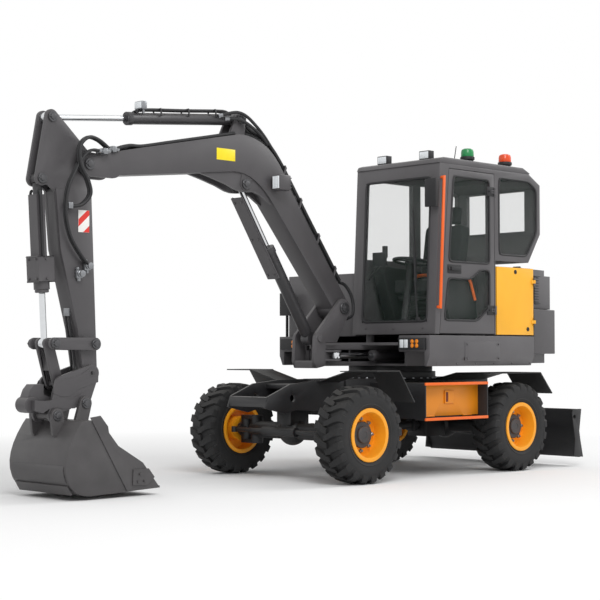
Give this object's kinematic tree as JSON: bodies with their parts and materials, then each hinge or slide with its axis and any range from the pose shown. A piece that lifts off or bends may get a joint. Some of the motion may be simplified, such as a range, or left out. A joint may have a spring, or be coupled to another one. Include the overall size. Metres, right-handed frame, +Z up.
{
  "type": "wheeled excavator",
  "caption": "compact wheeled excavator with a side cab, swing boom, arm, quick-coupled bucket, rear dozer blade, steered front wheels, opening door, hood and toolbox",
  "frame": {"origin": "on the ground, under the middle of the overall box", "axes": "+X points forward to the bucket, +Y to the left where the cab stands, +Z up"},
  "size_m": [5.871, 2.018, 3.2015],
  "materials": {
    "black_paint": "satin black paint",
    "grey_paint": "anthracite paint, semi-gloss",
    "yellow_paint": "warm yellow paint, semi-gloss",
    "orange_paint": "orange powder coat",
    "tyre": "worn tread rubber",
    "chrome": "hard chrome plating",
    "glass": "green-tinted safety glass",
    "trim": "grained black plastic",
    "hose": "black hydraulic hose and pipe",
    "engine": "painted castings"
  },
  "bodies": {
    "chassis": {"chassis_frame": "black_paint", "front_axle": "black_paint", "rear_axle": "black_paint", "drive_shaft": "black_paint", "slew_ring": "black_paint", "fenders": "black_paint", "step_boxes": "black_paint"},
    "toolbox_lid": {"toolbox_lid": "yellow_paint"},
    "steering_rod": {"steering_rod": "chrome"},
    "knuckle_left": {"knuckle_left": "black_paint"},
    "knuckle_right": {"knuckle_right": "black_paint"},
    "wheel_front_left": {"tyre_front_left": "tyre", "rim_front_left": "yellow_paint"},
    "wheel_front_right": {"tyre_front_right": "tyre", "rim_front_right": "yellow_paint"},
    "wheel_rear_left": {"tyre_rear_left": "tyre", "rim_rear_left": "yellow_paint"},
    "wheel_rear_right": {"tyre_rear_right": "tyre", "rim_rear_right": "yellow_paint"},
    "blade": {"blade": "black_paint"},
    "blade_barrel": {"blade_barrel": "black_paint"},
    "blade_rod": {"blade_rod": "chrome"},
    "upper": {"upper_frame": "black_paint", "side_skirts": "grey_paint", "counterweight": "grey_paint", "engine_block": "engine", "body_cover": "yellow_paint", "cab_frame": "grey_paint", "cab_roof": "grey_paint", "cab_glass": "glass", "seat": "trim", "consoles": "trim", "steering_column": "trim", "handrails": "orange_paint", "mirrors": "trim", "lamps": "trim"},
    "engine_hood": {"engine_hood": "grey_paint"},
    "service_door": {"service_door": "yellow_paint"},
    "cab_door": {"cab_door": "grey_paint", "door_glass": "glass"},
    "swing_post": {"swing_post": "black_paint"},
    "swing_barrel": {"swing_barrel": "black_paint"},
    "swing_rod": {"swing_rod": "chrome"},
    "boom": {"boom": "grey_paint", "boom_lines": "hose"},
    "boom_barrel": {"boom_barrel": "grey_paint"},
    "boom_rod": {"boom_rod": "chrome"},
    "arm": {"arm": "grey_paint"},
    "arm_barrel": {"arm_barrel": "grey_paint"},
    "arm_rod": {"arm_rod": "chrome"},
    "bucket_barrel": {"bucket_barrel": "grey_paint"},
    "bucket_rod": {"bucket_rod": "chrome"},
    "rocker": {"rocker": "grey_paint"},
    "bucket_link": {"bucket_link": "grey_paint"},
    "bucket": {"coupler": "grey_paint", "bucket": "grey_paint"}
  },
  "joints": [
    {"name": "slew", "type": "hinge", "parent": "chassis", "child": "upper", "pos_m": [-1.16552, 0, 1], "axis": [0, 0, 1], "continuous": true},
    {"name": "steer", "type": "hinge", "parent": "chassis", "child": "knuckle_left", "pos_m": [0.13448, 0.606, 0.42], "axis": [0, 0, 1], "range_deg": [-30, 30]},
    {"name": "steer_right", "type": "hinge", "parent": "chassis", "child": "knuckle_right", "pos_m": [0.13448, -0.606, 0.42], "axis": [0, 0, 1], "range_deg": [-31, 31]},
    {"name": "steer_rod", "type": "slide", "parent": "chassis", "child": "steering_rod", "axis": [0, 1, 0], "range_m": [-0.083, 0.083]},
    {"name": "spin_front_left", "type": "hinge", "parent": "knuckle_left", "child": "wheel_front_left", "pos_m": [0.13448, 0.811, 0.42], "axis": [0, 1, 0], "continuous": true},
    {"name": "spin_front_right", "type": "hinge", "parent": "knuckle_right", "child": "wheel_front_right", "pos_m": [0.13448, -0.811, 0.42], "axis": [0, 1, 0], "continuous": true},
    {"name": "spin_rear_left", "type": "hinge", "parent": "chassis", "child": "wheel_rear_left", "pos_m": [-1.96552, 0.811, 0.42], "axis": [0, 1, 0], "continuous": true},
    {"name": "spin_rear_right", "type": "hinge", "parent": "chassis", "child": "wheel_rear_right", "pos_m": [-1.96552, -0.811, 0.42], "axis": [0, 1, 0], "continuous": true},
    {"name": "toolbox_lid", "type": "hinge", "parent": "chassis", "child": "toolbox_lid", "pos_m": [-1.16552, 0.846, 0.55], "axis": [-1, 0, 0], "range_deg": [0, 90]},
    {"name": "blade", "type": "hinge", "parent": "chassis", "child": "blade", "pos_m": [-2.17552, 0, 0.4], "axis": [0, 1, 0], "range_deg": [-16, 26]},
    {"name": "blade_barrel", "type": "hinge", "parent": "chassis", "child": "blade_barrel", "pos_m": [-2.35552, 0, 0.85], "axis": [0, 1, 0], "range_deg": [-2, 2]},
    {"name": "blade_rod", "type": "slide", "parent": "blade_barrel", "child": "blade_rod", "axis": [-0.1829, 0, -0.9831], "range_m": [-0.118, 0.073]},
    {"name": "cab_door", "type": "hinge", "parent": "upper", "child": "cab_door", "pos_m": [-1.54052, 0.981, 1.9], "axis": [0, 0, 1], "range_deg": [0, 100]},
    {"name": "service_door", "type": "hinge", "parent": "upper", "child": "service_door", "pos_m": [-2.14052, 0.981, 1.6], "axis": [0, 0, 1], "range_deg": [0, 75]},
    {"name": "engine_hood", "type": "hinge", "parent": "upper", "child": "engine_hood", "pos_m": [-2.16552, 0, 1.948], "axis": [0, 1, 0], "range_deg": [0, 60]},
    {"name": "boom_swing", "type": "hinge", "parent": "upper", "child": "swing_post", "pos_m": [-0.22052, 0, 1.095], "axis": [0, 0, -1], "range_deg": [-75, 50]},
    {"name": "swing_barrel", "type": "hinge", "parent": "upper", "child": "swing_barrel", "pos_m": [-1.14552, 0.26, 1.095], "axis": [0, 0, 1], "range_deg": [-4, 3]},
    {"name": "swing_rod", "type": "slide", "parent": "swing_barrel", "child": "swing_rod", "axis": [0.9991, -0.0423, 0], "range_m": [-0.217, 0.145]},
    {"name": "boom", "type": "hinge", "parent": "swing_post", "child": "boom", "pos_m": [-0.37252, 0, 1.529], "axis": [0, -1, 0], "range_deg": [-58, 40]},
    {"name": "boom_rod", "type": "hinge", "parent": "boom", "child": "boom_rod", "pos_m": [0.79023, 0, 2.58134], "axis": [0, -1, 0], "range_deg": [-3, 3]},
    {"name": "boom_barrel", "type": "slide", "parent": "boom_rod", "child": "boom_barrel", "axis": [-0.5407, 0, -0.8412], "range_m": [-0.392, 0.271]},
    {"name": "arm", "type": "hinge", "parent": "boom", "child": "arm", "pos_m": [2.46218, 0, 2.6077], "axis": [0, 1, 0], "range_deg": [-80, 30]},
    {"name": "arm_barrel", "type": "hinge", "parent": "boom", "child": "arm_barrel", "pos_m": [0.83303, 0, 3.14651], "axis": [0, 1, 0], "range_deg": [-5, 3]},
    {"name": "arm_rod", "type": "slide", "parent": "arm_barrel", "child": "arm_rod", "axis": [0.995, 0, -0.0998], "range_m": [-0.607, 0.229]},
    {"name": "bucket", "type": "hinge", "parent": "arm", "child": "bucket", "pos_m": [2.43058, 0, 0.962], "axis": [0, 1, 0], "range_deg": [-55, 90]},
    {"name": "rocker", "type": "hinge", "parent": "arm", "child": "rocker", "pos_m": [2.41558, 0, 1.19], "axis": [0, 1, 0], "range_deg": [-41, 66]},
    {"name": "bucket_link", "type": "hinge", "parent": "bucket", "child": "bucket_link", "pos_m": [2.70958, 0, 0.882], "axis": [0, 1, 0], "range_deg": [-59, 37]},
    {"name": "bucket_barrel", "type": "hinge", "parent": "arm", "child": "bucket_barrel", "pos_m": [2.87753, 0, 2.4657], "axis": [0, 1, 0], "range_deg": [-3, 4]},
    {"name": "bucket_rod", "type": "slide", "parent": "bucket_barrel", "child": "bucket_rod", "axis": [-0.0596, 0, -0.9982], "range_m": [-0.244, 0.399]}
  ],
  "couplings": [
    {"joint": "steer_right", "follows": "steer", "ratio": 1},
    {"joint": "steer_rod", "follows": "steer", "m_per_rad": 0.15551},
    {"joint": "blade_barrel", "follows": "blade", "ratio": -0.019303},
    {"joint": "blade_rod", "follows": "blade", "m_per_rad": -0.25767},
    {"joint": "swing_barrel", "follows": "boom_swing", "ratio": 0.03},
    {"joint": "swing_rod", "follows": "boom_swing", "m_per_rad": 0.165},
    {"joint": "boom_rod", "follows": "boom", "ratio": 0.027868},
    {"joint": "boom_barrel", "follows": "boom", "m_per_rad": 0.38589},
    {"joint": "arm_barrel", "follows": "arm", "ratio": 0.043568},
    {"joint": "arm_rod", "follows": "arm", "m_per_rad": 0.43355},
    {"joint": "rocker", "follows": "bucket", "ratio": 0.71202},
    {"joint": "bucket_link", "follows": "bucket", "ratio": -0.6401},
    {"joint": "bucket_barrel", "follows": "bucket", "ratio": 0.022997},
    {"joint": "bucket_rod", "follows": "bucket", "m_per_rad": 0.25284}
  ]
}
